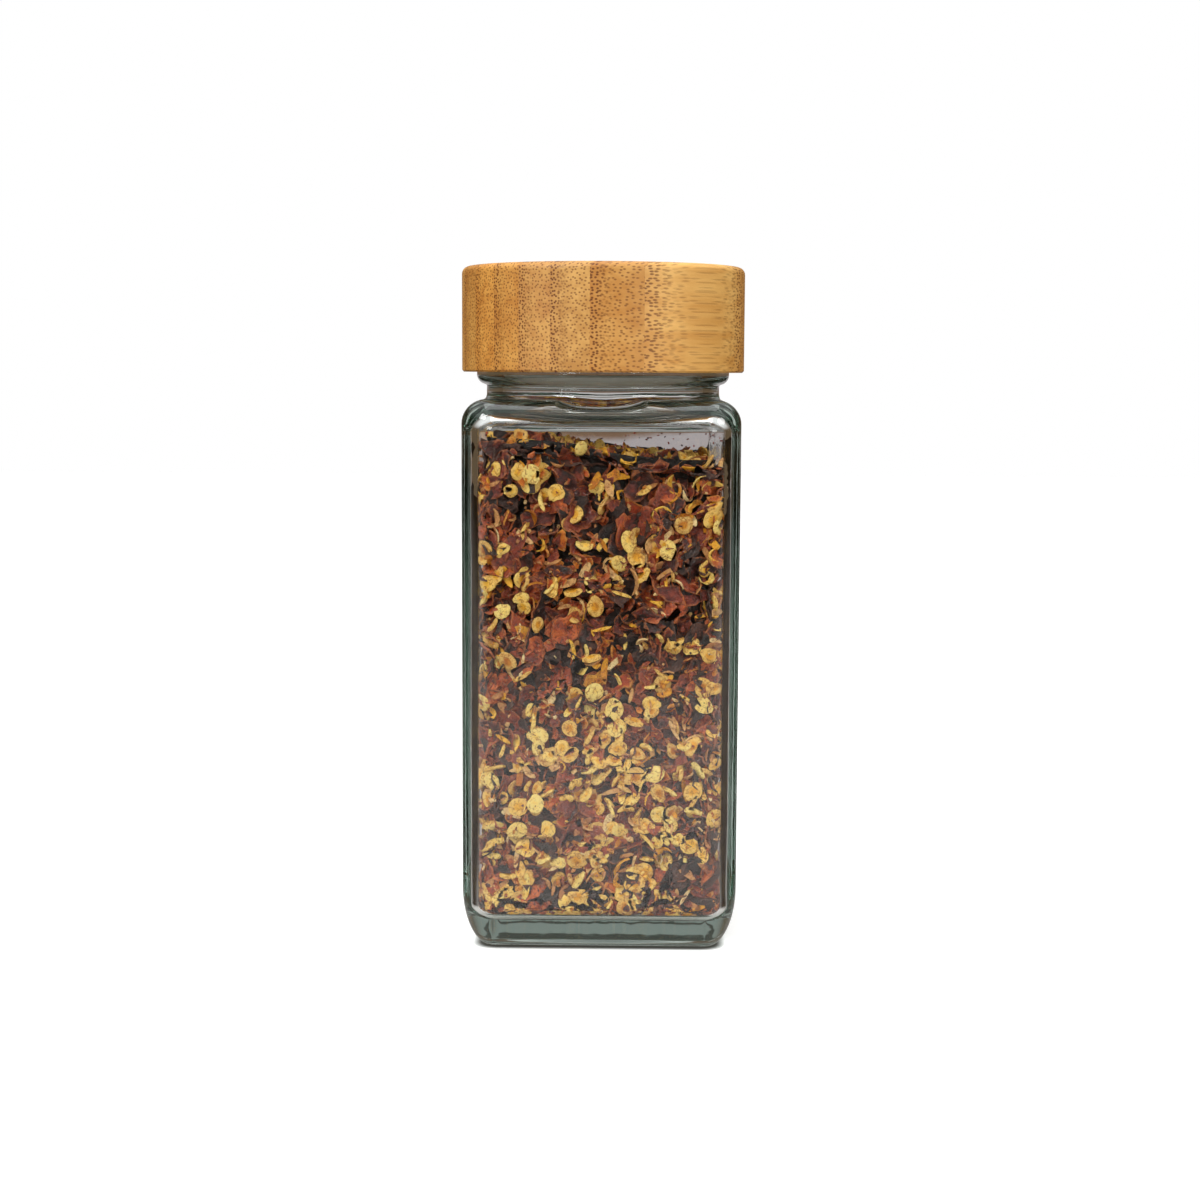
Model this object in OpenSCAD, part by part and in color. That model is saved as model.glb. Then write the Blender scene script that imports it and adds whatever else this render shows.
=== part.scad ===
// Square glass spice jar with a sifter insert and a screw lid turned from laminated bamboo.
// Millimetres, +Z up, the origin on the table under the middle of the jar. The camera side is -Y.

/* [Jar body] */
// Width and depth of the square body
body_w = 45.2; // [40:0.2:60]
// Height of the shoulder above the table
shoulder_z = 90; // [60:1:140]
// Radius of the upright corners
corner_r = 5.2; // [4.8:0.1:8]
// Thickness of the side walls
wall_t = 2.4; // [1.8:0.1:3.2]
// Thickness of the glass between the cavity and the table at the wall
base_t = 4.9; // [3.5:0.1:8]
// How far the heel draws in at the table
heel_in = 4.6; // [2:0.1:4.6]
// Height over which the heel draws in
heel_h = 10; // [4:0.5:16]
// Radius of the shoulder's outer edge
shoulder_r = 4; // [1.5:0.1:4.4]
// Thickness of the glass under the shoulder
shoulder_t = 2.8; // [1.8:0.1:5]
// Radius of the cavity's upright corners
cavity_corner_r = 3.2; // [2.5:0.1:5]
// Radius where the cavity's walls meet its floor
cavity_heel_r = 2.4; // [1:0.1:2.5]
// Radius where the cavity's walls meet its ceiling
cavity_shoulder_r = 2.4; // [1:0.1:2.5]
// Radius of the hollow pushed up under the base
push_up_r = 15; // [8:0.5:16]
// Height of the hollow under the base
push_up_h = 1.6; // [0.6:0.1:2.6]
// Height of the low dome on the cavity's floor
floor_dome_h = 0.8; // [0.3:0.1:1.5]

/* [Neck finish] */
// Height of the rim above the shoulder
finish_h = 14.9; // [13:0.1:20]
// Outside diameter of the neck under the bead
neck_d = 39.3; // [34:0.1:40]
// Diameter of the clear mouth
bore_d = 34; // [24:0.1:35]
// Radius of the neck's foot on the shoulder
neck_foot_r = 0.8; // [0.3:0.1:1]
// Height of the bead's lower edge above the shoulder
bead_lift = 2.3; // [1:0.1:3]
// Height of the bead
bead_h = 2.9; // [2.4:0.1:3.5]
// How far the bead stands out of the threaded finish
bead_out = 1.65; // [1:0.05:1.9]
// Rounding of the rim
rim_r = 0.8; // [0.3:0.1:1.2]

/* [Thread] */
// Rise of the thread in one turn
pitch = 4.2; // [3.8:0.1:5]
// Turns of thread on the neck and in the lid
turns = 1.25; // [0.75:0.05:1.25]
// How far the neck's thread stands out
ridge_h = 0.9; // [0.5:0.05:1]
// Width of a thread ridge at its foot
ridge_foot_w = 1.7; // [1.2:0.1:1.8]
// Width of a thread ridge at its crest
ridge_crest_w = 0.8; // [0.4:0.1:1]
// Height of the thread's start above the bead
thread_lift = 1.8; // [1.5:0.1:2.2]
// Clearance between the two threads' crests and roots
thread_gap = 0.25; // [0.2:0.05:0.4]
// Clearance between the flanks that pull the lid down
flank_gap = 0.3; // [0.2:0.05:0.5]

/* [Sifter insert] */
// Thickness of the sifter plate that lies on the rim
plate_t = 0.9; // [0.7:0.1:1.5]
// How far the plate's edge stays inside the neck's outside
plate_inset = 0.35; // [0.2:0.05:0.8]
// Length of the skirt that grips the mouth
skirt_h = 6.5; // [4:0.5:8]
// Thickness of the skirt
skirt_t = 1.1; // [0.8:0.1:1.8]
// Clearance of the skirt in the mouth
skirt_gap = 0.05; // [0.02:0.01:0.1]
// Diameter of the sifter holes
sift_d = 5.6; // [3:0.1:6]
// Radius of the circle that the sifter holes lie on
sift_ring_r = 9.6; // [8:0.1:10]
// Number of sifter holes round the middle one
sift_count = 6; // [4:1:7]

/* [Lid] */
// Diameter of the bamboo lid
lid_d = 47.6; // [46:0.1:54]
// Height of the bamboo lid
lid_h = 17.5; // [16.5:0.1:20]
// Wall of the bamboo round the liner cap
lid_wall_t = 1.85; // [1.5:0.05:4]
// Thickness of the bamboo above the socket
lid_top_t = 4; // [3:0.1:6]
// Rounding of the lid's upper edge
lid_edge_r = 1.2; // [0.4:0.1:2]
// Bevel of the lid's lower edges
lid_bevel = 0.3; // [0.1:0.1:0.5]
// Width of one glued bamboo strip
strip_w = 5.45; // [4.5:0.05:8]
// Distance of the first glue line from the lid's edge
first_glue_line = 2.85; // [1:0.05:5.5]
// Turn of the strips' direction away from the front
strip_turn = 45; // [0:5:90]
// Wall of the plastic liner cap
liner_wall_t = 1.1; // [0.8:0.05:1.2]
// Thickness of the liner cap's top
liner_top_t = 1; // [0.8:0.1:2]
// How far the liner cap stays inside the bamboo's lower edge
liner_recess = 1.3; // [1:0.1:1.6]
// Clearance that the liner cap keeps above the bead
bead_gap = 0.45; // [0.3:0.05:1]
// Glue line between the liner cap and the bamboo
glue_gap = 0.05; // [0.03:0.01:0.1]
// Thickness of the foam seal
seal_t = 1; // [0.6:0.1:2]
// Clearance round the foam seal
seal_gap = 0.4; // [0.2:0.1:1]

/* [Contents] */
// Mean height of the crushed pepper above the table
fill_z = 81.8; // [30:0.2:84]
// Height of the waves on the crushed pepper
fill_wave = 1.2; // [0.2:0.1:1.6]
// How much higher the crushed pepper lies on the left than in the middle
fill_lean = 1.4; // [0:0.1:2]
// Clearance of the crushed pepper from the glass
fill_gap = 0.3; // [0.15:0.05:0.6]
// Distance between the lumps that the flakes make in the pepper's sides and top
lump_span = 7.6; // [6:0.2:15]
// Depth of the hollows between the lumps
lump_depth = 1.6; // [0.4:0.1:1.8]

/* [Hidden] */
$fn = 96;
eps = 0.01;
hull_fn = 32;
dome_fn = 200;
arc_steps = 6;
// How far a cut runs past what it cuts
over = 1;

// Jar, whose threaded finish takes its diameter from the lid that screws onto it
half_w = body_w / 2;
cavity_half = half_w - wall_t;
cavity_floor_z = base_t;
cavity_top_z = shoulder_z - shoulder_t;
neck_r = neck_d / 2;
bore_r = bore_d / 2;
rim_z = shoulder_z + finish_h;
bead_z = shoulder_z + bead_lift;
bead_top_z = bead_z + bead_h;
bead_top_r = 0.6;
lid_r = lid_d / 2;
socket_r = lid_r - lid_wall_t;
liner_r = socket_r - glue_gap;
liner_bore_r = liner_r - liner_wall_t;
finish_crest_r = liner_bore_r - thread_gap;
finish_r = finish_crest_r - ridge_h;
floor_dome_margin = 1;
floor_dome_r = cavity_half - cavity_heel_r - floor_dome_margin;

// Thread: one ridge on the neck and one in the liner cap, with the second just under the first
ring_steps = 32;
run_out_steps = 3;
run_out_tip = 0.3;
ridge_sink = 0.3;
ridge_mid_w = (ridge_foot_w + ridge_crest_w) / 2;
liner_crest_extra = 0.05;
liner_crest_r = finish_r + thread_gap + liner_crest_extra;
neck_thread_z = bead_top_z + thread_lift;
thread_drop = ridge_mid_w + flank_gap;

// Lid stack, from the rim up
plate_r = finish_r - plate_inset;
plate_top_z = rim_z + plate_t;
skirt_r = bore_r - skirt_gap;
seal_z = plate_top_z;
seal_top_z = seal_z + seal_t;
seal_r = liner_bore_r - seal_gap;
liner_top_z = seal_top_z + liner_top_t;
socket_top_z = liner_top_z + glue_gap;
lid_top_z = socket_top_z + lid_top_t;
lid_z = lid_top_z - lid_h;
liner_z = max(lid_z + liner_recess, bead_top_z + bead_gap);
liner_thread_lift = 0.1;
liner_thread_z = liner_z + ridge_foot_w / 2 + liner_thread_lift;
liner_thread_turn = (liner_thread_z - (neck_thread_z - thread_drop)) / pitch * 360;
strip_count = round((lid_d - first_glue_line) / strip_w) + 1;
strip_tints = ["#d6a260", "#c98f4e", "#dfb270", "#d39c58", "#cb9450", "#d8a562", "#cf9853"];

// Crushed pepper
fill_half = cavity_half - fill_gap;
fill_corner_r = cavity_corner_r - fill_gap;
fill_heel_r = cavity_heel_r;
fill_floor_z = cavity_floor_z + fill_gap;
fill_wall_z = fill_floor_z + fill_heel_r;
corner_steps = 4;
side_steps = round(2 * (fill_half - fill_corner_r) / (lump_span / 2));
quarter_points = corner_steps + side_steps;
wall_steps = round((fill_z - fill_wall_z) / (lump_span / 2));
min_corner_r = 0.3;
wave_x = -11.8;
wave_x_rate = 8;
wave_y_rate = 2;
top_rings = 6;
lump_seed = 5;
lump_columns = 4 * (side_steps + 1);
lumps = rands(0, lump_depth, lump_columns * (wall_steps + top_rings), lump_seed);

// Points of a quarter arc about a centre, from one angle to another
function arc(cx, cy, rx, ry, from, to) =
    [for (i = [0 : arc_steps])
        let (a = from + (to - from) * i / arc_steps)
        [cx + rx * cos(a), cy + ry * sin(a)]];

// Radius of the sphere whose cap has this radius and height
function cap_sphere_r(r, h) = (r * r + h * h) / (2 * h);

// One upright corner of the jar's outside, with its heel and shoulder
module outer_corner() {
    rotate_extrude($fn = hull_fn)
        polygon(concat(
            [[0, 0]],
            arc(corner_r - heel_in, heel_h, heel_in, heel_h, -90, 0),
            arc(corner_r - shoulder_r, shoulder_z - shoulder_r, shoulder_r, shoulder_r, 0, 90),
            [[0, shoulder_z]]
        ));
}

// One upright corner of the cavity
module cavity_corner() {
    rotate_extrude($fn = hull_fn)
        polygon(concat(
            [[0, cavity_floor_z]],
            arc(cavity_corner_r - cavity_heel_r, cavity_floor_z + cavity_heel_r,
                cavity_heel_r, cavity_heel_r, -90, 0),
            arc(cavity_corner_r - cavity_shoulder_r, cavity_top_z - cavity_shoulder_r,
                cavity_shoulder_r, cavity_shoulder_r, 0, 90),
            [[0, cavity_top_z]]
        ));
}

// Puts its child at the four corners of a square and fills between them
module rounded_square_body(half, r) {
    hull()
        for (x = [-1, 1], y = [-1, 1])
            translate([x * (half - r), y * (half - r), 0])
                children();
}

// Section of a thread ridge, standing out or in from its foot, with its points in the same order
function ridge_section(foot_r, crest_r, grow) =
    let (tip_r = foot_r + (crest_r - foot_r) * grow)
    crest_r > foot_r
        ? [[foot_r, -ridge_foot_w / 2], [tip_r, -ridge_crest_w / 2],
           [tip_r, ridge_crest_w / 2], [foot_r, ridge_foot_w / 2]]
        : [[tip_r, -ridge_crest_w / 2], [foot_r, -ridge_foot_w / 2],
           [foot_r, ridge_foot_w / 2], [tip_r, ridge_crest_w / 2]];

// A right-hand thread ridge that runs out at both ends, its foot sunk in the wall that carries it
module thread_ridge(foot_r, crest_r, start_z, start_turn) {
    steps = round(turns * ring_steps);
    points = [for (i = [0 : steps])
        let (a = start_turn + 360 * i / ring_steps,
             z = start_z + pitch * i / ring_steps,
             grow = min(1, (min(i, steps - i) + run_out_tip) / run_out_steps))
        for (p = ridge_section(foot_r, crest_r, grow))
            [p.x * cos(a), p.x * sin(a), z + p.y]];
    sides = [for (i = [0 : steps - 1], k = [0 : 3])
        let (a = 4 * i + k, b = 4 * i + (k + 1) % 4)
        each [[a, b, b + 4], [a, b + 4, a + 4]]];
    end = 4 * steps;
    caps = [[0, 3, 2], [0, 2, 1], [end, end + 1, end + 2], [end, end + 2, end + 3]];
    polyhedron(points = points, faces = concat(sides, caps));
}

// The neck with its foot, bead and rim, solid to the axis
module neck() {
    rotate_extrude()
        polygon(concat(
            [[0, cavity_top_z + eps], [neck_r + neck_foot_r, cavity_top_z + eps],
             [neck_r + neck_foot_r, shoulder_z]],
            [for (p = arc(neck_r + neck_foot_r, shoulder_z + neck_foot_r,
                neck_foot_r, neck_foot_r, -90, -180)) p],
            arc(finish_r, bead_z + bead_out, bead_out, bead_out, -90, 0),
            arc(finish_r + bead_out - bead_top_r, bead_top_z - bead_top_r,
                bead_top_r, bead_top_r, 0, 90),
            [[finish_r, bead_top_z]],
            arc(finish_r - rim_r, rim_z - rim_r, rim_r, rim_r, 0, 90),
            [[0, rim_z]]
        ));
}

module glass_jar() {
    push_up_sphere = cap_sphere_r(push_up_r, push_up_h);
    dome_sphere = cap_sphere_r(floor_dome_r, floor_dome_h);
    color("#c9dad4", 0.35)
        difference() {
            union() {
                rounded_square_body(half_w, corner_r) outer_corner();
                neck();
                thread_ridge(finish_r - ridge_sink, finish_crest_r, neck_thread_z, 0);
            }
            difference() {
                rounded_square_body(cavity_half, cavity_corner_r) cavity_corner();
                translate([0, 0, cavity_floor_z + floor_dome_h - dome_sphere])
                    sphere(r = dome_sphere, $fn = dome_fn);
            }
            translate([0, 0, cavity_top_z - over])
                cylinder(r = bore_r, h = rim_z - cavity_top_z + 2 * over);
            translate([0, 0, push_up_h - push_up_sphere])
                sphere(r = push_up_sphere, $fn = dome_fn);
        }
}

// A point after this many quarter turns
function quarter_turned(p, quarters) =
    quarters == 0 ? p : quarter_turned([-p.y, p.x], quarters - 1);

// Point i of a quarter of a square with round corners: first the corner, then the side after it
function quarter_point(half, r, i) =
    let (a = 90 * min(1, i / corner_steps))
    i <= corner_steps
        ? [half - r + r * cos(a), half - r + r * sin(a)]
        : [(half - r) * (1 - 2 * (i - corner_steps) / side_steps), half];

// Outline of a square with round corners, with the same number of points at any size
function square_ring(half, r) =
    [for (q = [0 : 3], i = [0 : quarter_points - 1])
        quarter_turned(quarter_point(half, r, i), q)];

// Depth of the hollows at point i of quarter q, from one row of lumps, and even round a corner
function hollow(row, q, i) =
    let (column = q * (side_steps + 1) + max(0, i - corner_steps),
         first = lumps[row * lump_columns + column],
         second = lumps[row * lump_columns + column + 1])
    i > corner_steps ? second : first + (second - first) * i / corner_steps;

// Outline of the pepper's side at one row of lumps
function lumpy_ring(row) =
    [for (q = [0 : 3], i = [0 : quarter_points - 1])
        let (d = hollow(row, q, i))
        quarter_turned(quarter_point(fill_half - d, fill_corner_r - d, i), q)];

// Height of the crushed pepper's uneven top
function fill_top(x, y) =
    fill_z - fill_lean * x / fill_half
    + fill_wave * cos(wave_x_rate * (x - wave_x)) * cos(wave_y_rate * y);

// Height of the crushed pepper's underside over the floor's dome
function fill_floor(x, y) =
    let (r = sqrt(x * x + y * y))
    fill_floor_z + floor_dome_h * max(0, 1 - pow(r / floor_dome_r, 2));

module spice_fill() {
    outline = square_ring(fill_half, fill_corner_r);
    foot = square_ring(fill_half - fill_heel_r, max(min_corner_r, fill_corner_r - fill_heel_r));
    count = len(outline);
    floor_rings = [for (t = [1 : 4])
        [for (p = foot) [p.x * t / 4, p.y * t / 4, fill_floor(p.x * t / 4, p.y * t / 4)]]];
    heel_rings = [for (i = [1 : arc_steps])
        let (a = 90 * i / arc_steps)
        [for (k = [0 : count - 1])
            [foot[k].x + (outline[k].x - foot[k].x) * sin(a),
             foot[k].y + (outline[k].y - foot[k].y) * sin(a),
             fill_floor_z + fill_heel_r * (1 - cos(a))]]];
    wall_rings = [for (row = [1 : wall_steps])
        [for (p = row < wall_steps ? lumpy_ring(row) : outline)
            [p.x, p.y, fill_wall_z + (fill_top(p.x, p.y) - fill_wall_z) * row / wall_steps]]];
    roof_rings = [for (t = [top_rings - 1 : -1 : 1])
        [for (k = [0 : count - 1])
            let (x = outline[k].x * t / top_rings,
                 y = outline[k].y * t / top_rings,
                 d = hollow(wall_steps + t, floor(k / quarter_points), k % quarter_points))
            [x, y, fill_top(x, y) + (lump_depth / 2 - d) * t / top_rings]]];
    rings = concat(floor_rings, heel_rings, wall_rings, roof_rings);
    last = len(rings) * count;
    points = concat([for (ring = rings) each ring],
        [[0, 0, fill_top(0, 0)], [0, 0, fill_floor(0, 0)]]);
    walls = [for (j = [0 : len(rings) - 2], k = [0 : count - 1])
        let (a = j * count + k, b = j * count + (k + 1) % count)
        each [[a, a + count, b + count], [a, b + count, b]]];
    roof = [for (k = [0 : count - 1]) [last - count + k, last, last - count + (k + 1) % count]];
    floor_fan = [for (k = [0 : count - 1]) [k, (k + 1) % count, last + 1]];
    color("#7c3a22")
        polyhedron(points = points, faces = concat(walls, roof, floor_fan));
}

module sifter_insert() {
    color("#f0efe9")
        difference() {
            rotate_extrude()
                polygon([
                    [0, rim_z], [skirt_r - skirt_t, rim_z],
                    [skirt_r - skirt_t, rim_z - skirt_h], [skirt_r, rim_z - skirt_h],
                    [skirt_r, rim_z], [plate_r, rim_z],
                    [plate_r, plate_top_z - plate_t / 3], [plate_r - plate_t / 3, plate_top_z],
                    [0, plate_top_z]
                ]);
            for (i = [0 : sift_count])
                rotate([0, 0, 360 * i / sift_count])
                    translate([i == 0 ? 0 : sift_ring_r, 0, rim_z - over])
                        cylinder(d = sift_d, h = plate_t + 2 * over);
        }
}

module seal_disc() {
    color("#eeeae0")
        translate([0, 0, seal_z])
            cylinder(r = seal_r, h = seal_t);
}

module liner_cap() {
    color("#e9e6dc")
        union() {
            rotate_extrude()
                polygon([
                    [0, seal_top_z], [liner_bore_r, seal_top_z],
                    [liner_bore_r, liner_z], [liner_r, liner_z],
                    [liner_r, liner_top_z], [0, liner_top_z]
                ]);
            thread_ridge(liner_bore_r + ridge_sink, liner_crest_r, liner_thread_z,
                liner_thread_turn);
        }
}

// The lid as it is turned from the glued block: a cup with a round socket for the liner cap
module turned_lid() {
    rotate_extrude()
        polygon(concat(
            [[0, socket_top_z], [socket_r, socket_top_z], [socket_r, lid_z + lid_bevel],
             [socket_r + lid_bevel, lid_z], [lid_r - lid_bevel, lid_z], [lid_r, lid_z + lid_bevel]],
            arc(lid_r - lid_edge_r, lid_top_z - lid_edge_r, lid_edge_r, lid_edge_r, 0, 90),
            [[0, lid_top_z]]
        ));
}

// Strip i lies between two upright glue lines, and the first and last reach the lid's edge
module lid_strip(i) {
    first_line = lid_r - first_glue_line;
    near = i == strip_count ? -lid_r - over : first_line - (i - 1) * strip_w;
    far = i == 1 ? lid_r + over : first_line - (i - 2) * strip_w;
    color(strip_tints[(i - 1) % len(strip_tints)])
        intersection() {
            turned_lid();
            rotate([0, 0, -strip_turn])
                translate([near, -lid_r - over, lid_z - over])
                    cube([far - near, lid_d + 2 * over, lid_h + 2 * over]);
        }
}

glass_jar();
spice_fill();
sifter_insert();
seal_disc();
liner_cap();
for (i = [1 : strip_count])
    lid_strip(i);
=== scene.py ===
# %% [markdown]
# # A square spice jar with a turned bamboo lid
#
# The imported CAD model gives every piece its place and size. This lesson gives the pieces their looks:
# a shell of clear glass, a filling of crushed red pepper, and a lid turned from glued bamboo strips.
# The camera looks along +Y at the jar's front. The jar and the pepper are worked out in millimetres,
# and the studio in metres.

# %% Load the frame
import math
import random

import bmesh
import bpy
from mathutils import Matrix, Vector, noise
from mathutils.bvhtree import BVHTree


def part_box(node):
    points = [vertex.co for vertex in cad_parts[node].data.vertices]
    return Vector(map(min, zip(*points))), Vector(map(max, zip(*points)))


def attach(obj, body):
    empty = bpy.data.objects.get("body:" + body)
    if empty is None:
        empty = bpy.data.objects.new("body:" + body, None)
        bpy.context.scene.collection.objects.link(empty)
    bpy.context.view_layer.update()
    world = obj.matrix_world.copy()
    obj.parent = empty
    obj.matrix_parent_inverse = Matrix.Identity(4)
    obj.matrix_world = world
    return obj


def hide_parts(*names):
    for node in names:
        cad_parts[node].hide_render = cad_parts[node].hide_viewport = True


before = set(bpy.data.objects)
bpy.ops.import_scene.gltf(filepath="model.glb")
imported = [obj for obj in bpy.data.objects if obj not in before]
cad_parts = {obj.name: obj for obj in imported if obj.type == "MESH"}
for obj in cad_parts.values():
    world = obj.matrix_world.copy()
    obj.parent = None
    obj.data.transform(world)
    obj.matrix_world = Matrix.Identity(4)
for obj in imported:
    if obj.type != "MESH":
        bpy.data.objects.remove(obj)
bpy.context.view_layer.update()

MM = 0.001

# %% [markdown]
# ## Small helpers
#
# Colours are picked as they look on a screen, so one function turns a hex code into the linear values
# that the shaders work in. The others add the nodes that come back all the time, and the last one makes
# a bmesh an object that moves with a body of the CAD model. A Mix node's sockets go by number, because
# it has an A and a B for each kind of value.

# %% Helpers
MIX_A, MIX_B = 2, 3
MIX_COLOUR_A, MIX_COLOUR_B, MIX_COLOUR = 6, 7, 2


def linear(code):
    """Linear colour with alpha 1 for an sRGB hex code."""
    channels = [int(code[i:i + 2], 16) / 255 for i in (1, 3, 5)]
    return [c / 12.92 if c <= 0.04045 else ((c + 0.055) / 1.055) ** 2.4 for c in channels] + [1]


def add(tree, kind, inputs=None, **settings):
    """Adds a shader node. Inputs are values, or sockets of other nodes to link."""
    node = tree.nodes.new("ShaderNode" + kind)
    for name, value in settings.items():
        setattr(node, name, value)
    for socket, value in (inputs or {}).items():
        if isinstance(value, bpy.types.NodeSocket):
            tree.links.new(value, node.inputs[socket])
        else:
            node.inputs[socket].default_value = value
    return node


def object_place(tree):
    """The place on the object itself, which turns and moves with it."""
    return add(tree, "TexCoord").outputs["Object"]


def remap(tree, value, old, new=(0, 1), **settings):
    """The value moved from one range to another, and kept inside it."""
    return add(tree, "MapRange", {"Value": value, "From Min": old[0], "From Max": old[1],
                                  "To Min": new[0], "To Max": new[1]}, **settings).outputs[0]


def rising(tree, value, start, end):
    """0 where the value is at start, 1 at its end, smooth between."""
    return remap(tree, value, (start, end), interpolation_type="SMOOTHSTEP")


def maths(tree, operation, *values, clamp=False):
    """The result of a Math node."""
    return add(tree, "Math", dict(enumerate(values)), operation=operation, use_clamp=clamp).outputs[0]


def blend(tree, share, first, second):
    """A colour between two, all of the first at a share of 0 and all of the second at 1."""
    return add(tree, "Mix", {0: share, MIX_COLOUR_A: first, MIX_COLOUR_B: second},
               data_type="RGBA").outputs[MIX_COLOUR]


def ramp(tree, factor, stops):
    """Colours for a factor: stops are pairs of a place from 0 to 1 and a hex code."""
    node = add(tree, "ValToRGB", {0: factor})
    elements = node.color_ramp.elements
    while len(elements) < len(stops):
        elements.new(1)
    for element, (place, code) in zip(elements, stops):
        element.position = place
        element.color = linear(code)
    return node.outputs[0]


def new_material(name):
    """An empty node material, its tree and its output node."""
    material = bpy.data.materials.new(name)
    material.use_nodes = True
    tree = material.node_tree
    tree.nodes.clear()
    return material, tree, add(tree, "OutputMaterial")


def finished(name, bm, material, body, smooth=True):
    """Makes the bmesh an object that rides on a body and takes its finish from a slot."""
    mesh = bpy.data.meshes.new(name)
    bm.to_mesh(mesh)
    bm.free()
    mesh.polygons.foreach_set("use_smooth", [smooth] * len(mesh.polygons))
    mesh.materials.append(material)
    piece = bpy.data.objects.new(name, mesh)
    bpy.context.scene.collection.objects.link(piece)
    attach(piece, body)
    print(name, len(mesh.polygons), "faces")
    return piece


# %% [markdown]
# ## The camera
#
# The photograph was taken from just under the height of the lid, tilted a little down. Its distance and
# height follow from how much the lid's upper edge bows and how the body narrows towards the table.
# Light turns back many times inside the jar's corners, so it is given many bounces.

# %% Camera
CAMERA_DISTANCE = 352 * MM
CAMERA_HEIGHT = 95.2 * MM
PLACE_ROUND = math.radians(0.8)
LOOK_LEFT = math.radians(0.055)
PITCH_DOWN = math.radians(6.43)
ROLL = math.radians(0.27)
FOCAL_PIXELS = 2066
FRAME_PIXELS = 1200
SENSOR_MM = 36
BOUNCES = 32

lens = bpy.data.cameras.new("camera")
lens.sensor_width = SENSOR_MM
lens.lens = FOCAL_PIXELS / FRAME_PIXELS * SENSOR_MM
lens.clip_start = 10 * MM
camera = bpy.data.objects.new("camera", lens)
camera.matrix_world = (
    Matrix.Rotation(PLACE_ROUND, 4, "Z")
    @ Matrix.Translation((0, -CAMERA_DISTANCE, CAMERA_HEIGHT))
    @ Matrix.Rotation(LOOK_LEFT, 4, "Z")
    @ Matrix.Rotation(math.radians(90) - PITCH_DOWN, 4, "X")
    @ Matrix.Rotation(ROLL, 4, "Z")
)
bpy.context.scene.collection.objects.link(camera)
bpy.context.scene.camera = camera
bpy.context.scene.view_settings.view_transform = "Standard"
for kind in ("max_bounces", "glossy_bounces", "transmission_bounces"):
    setattr(bpy.context.scene.cycles, kind, BOUNCES)
print("lens", round(lens.lens, 2), "mm")

# %% [markdown]
# ## The jar's sizes
#
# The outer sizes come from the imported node's box. The wall, the radii and the neck's steps repeat what
# the CAD model says, because the visible shell stands in its place.

# %% Jar sizes
jar_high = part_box("glass_jar")[1] / MM
HALF_W = jar_high.x
RIM_Z = jar_high.z
WALL_T = 2.4
CORNER_R = 5.2
STRAIGHT = HALF_W - CORNER_R
HEEL_IN, HEEL_H = 4.6, 10
SHOULDER_Z, SHOULDER_R = 90, 4
PUSH_UP_R, PUSH_UP_H = 15, 1.6
CAVITY_HALF, CAVITY_CORNER_R = HALF_W - WALL_T, 3.2
CAVITY_FLOOR_Z, CAVITY_TOP_Z = 4.9, 87.2
CAVITY_ROUND_R = 2.4
FLOOR_DOME_R, FLOOR_DOME_H = 16.8, 0.8
NECK_R, NECK_FOOT_R = 19.65, 0.8
BEAD_Z, BEAD_TOP_Z, BEAD_OUT, BEAD_TOP_R = 92.3, 95.2, 1.65, 0.6
BORE_R = 17
RIM_R = 0.8
FILLET_R, LIP_R = 0.3, 0.55
THREAD_Z, THREAD_PITCH, THREAD_TURNS = 97, 4.2, 1.25
THREAD_H, THREAD_FOOT_W, THREAD_CREST_W = 0.9, 1.7, 0.8
print("jar", round(2 * HALF_W, 2), "wide and", round(RIM_Z, 2), "to the rim")

# %% [markdown]
# ## A tube of rings
#
# The jar changes from a round neck to a square body, which a lathe can't make. So a straight
# ladder of edges is spun into a tube with the spin operator, and then each ring of the tube is moved
# to its own outline: a circle, a square with round corners, or something between the two. Half of the
# steps round each ring lie on the corners, where the glass bends the light.

# %% Points round the jar
QUARTER = 64
AROUND = 4 * QUARTER
CORNER_FROM, CORNER_TO = QUARTER // 4, QUARTER * 3 // 4


def square_point(step, half, corner):
    """Point number step round a square with round corners, counted from the middle of its +X side."""
    quarter, i = divmod(step % AROUND, QUARTER)
    straight = half - corner
    if i <= CORNER_FROM:
        x, y = half, straight * i / CORNER_FROM
    elif i >= CORNER_TO:
        x, y = straight * (QUARTER - i) / (QUARTER - CORNER_TO), half
    else:
        angle = math.pi / 2 * (i - CORNER_FROM) / (CORNER_TO - CORNER_FROM)
        x, y = straight + corner * math.cos(angle), straight + corner * math.sin(angle)
    return ((x, y), (-y, x), (-x, -y), (y, -x))[quarter]


def circle_point(step, radius):
    """The same point on a circle, in the direction that it has on the jar's body."""
    x, y = square_point(step, HALF_W, CORNER_R)
    return x * radius / math.hypot(x, y), y * radius / math.hypot(x, y)


print(AROUND, "steps round the jar")


# %% Rings and the tube that they shape
WELD = 0.0005 * MM


def arc(centre_r, centre_z, radius_r, radius_z, start, end, steps):
    """Radii and heights along an arc, with its angles in degrees."""
    angles = [math.radians(start + (end - start) * i / steps) for i in range(steps + 1)]
    return [(centre_r + radius_r * math.cos(a), centre_z + radius_z * math.sin(a)) for a in angles]


def round_arc(centre_r, centre_z, radius, start, end, steps):
    """An arc of a true circle."""
    return arc(centre_r, centre_z, radius, radius, start, end, steps)


def even(start, end, spacing):
    """Heights from start to end, evenly spaced and without the ends."""
    count = round(abs(end - start) / spacing)
    return [start + (end - start) * i / count for i in range(1, count)]


def circles(stations):
    """Round rings, one for each radius and height."""
    return [lambda step, r=r, z=z: (*circle_point(step, r), z) for r, z in stations]


def squares(straight, stations):
    """Square rings, one for each corner radius and height."""
    return [lambda step, r=r, z=z: (*square_point(step, straight + r, r), z) for r, z in stations]


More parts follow.
